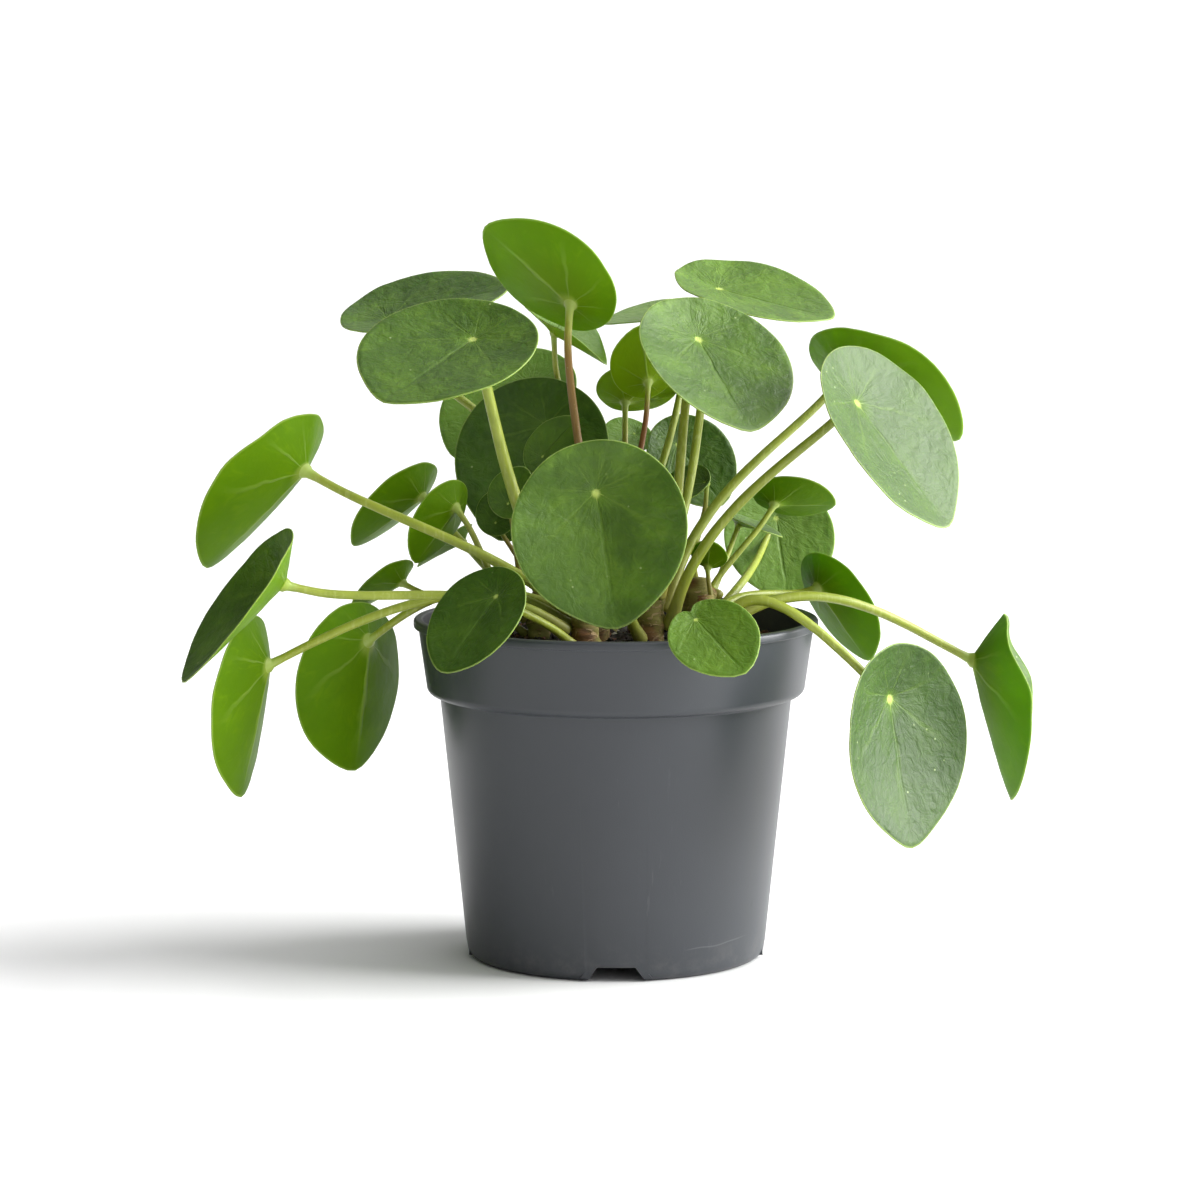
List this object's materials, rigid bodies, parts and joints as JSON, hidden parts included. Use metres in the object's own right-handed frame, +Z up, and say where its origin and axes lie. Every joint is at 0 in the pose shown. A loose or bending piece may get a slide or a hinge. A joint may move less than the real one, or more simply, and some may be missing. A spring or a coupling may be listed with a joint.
{
  "type": "potted plant",
  "caption": "Chinese money plant with round, off-centre leaves on long petioles, growing from short stems in a soil-filled round nursery pot with a collar and drain channels underneath",
  "frame": {"origin": "centre of the pot's underside, on the surface it stands on", "axes": "+Z up; +X to the plant's right seen from the front; -Y points out of the front, where one drain channel opens"},
  "size_m": [0.2434, 0.1477, 0.2188],
  "materials": {
    "pot": "slate grey, satin",
    "soil": "dark peat, rough",
    "stem": "brown bark",
    "leaf": "waxy green"
  },
  "bodies": {
    "root": {"back_stem": "stem", "leaf_back_left": "leaf", "leaf_dark_left": "leaf", "leaf_dark_right": "leaf", "leaf_far_left_high": "leaf", "leaf_far_left_low": "leaf", "leaf_far_left_middle": "leaf", "leaf_far_right": "leaf", "leaf_front_left": "leaf", "leaf_front_middle": "leaf", "leaf_front_right": "leaf", "leaf_left_back": "leaf", "leaf_left_hanging": "leaf", "leaf_left_inner": "leaf", "leaf_left_low_back": "leaf", "leaf_left_narrow": "leaf", "leaf_light_back_right": "leaf", "leaf_pale_back": "leaf", "leaf_right_back": "leaf", "leaf_right_front": "leaf", "leaf_right_hanging": "leaf", "leaf_right_level": "leaf", "leaf_right_low": "leaf", "leaf_small_folded": "leaf", "leaf_small_grey": "leaf", "leaf_small_left": "leaf", "leaf_small_left_front": "leaf", "leaf_small_middle": "leaf", "leaf_tiny_low": "leaf", "leaf_tiny_olive": "leaf", "leaf_top_far_back": "leaf", "leaf_top_left": "leaf", "leaf_top_right_back": "leaf", "leaf_top_right_front": "leaf", "leaf_upper_left_back": "leaf", "leaf_upper_left_front": "leaf", "leaf_young_back": "leaf", "leaf_young_top": "leaf", "leaf_young_upright": "leaf", "left_stem": "stem", "main_stem": "stem", "middle_left_stem": "stem", "middle_right_stem": "stem", "pot": "pot", "right_stem": "stem", "small_left_stem": "stem", "soil": "soil"}
  },
  "joints": []
}
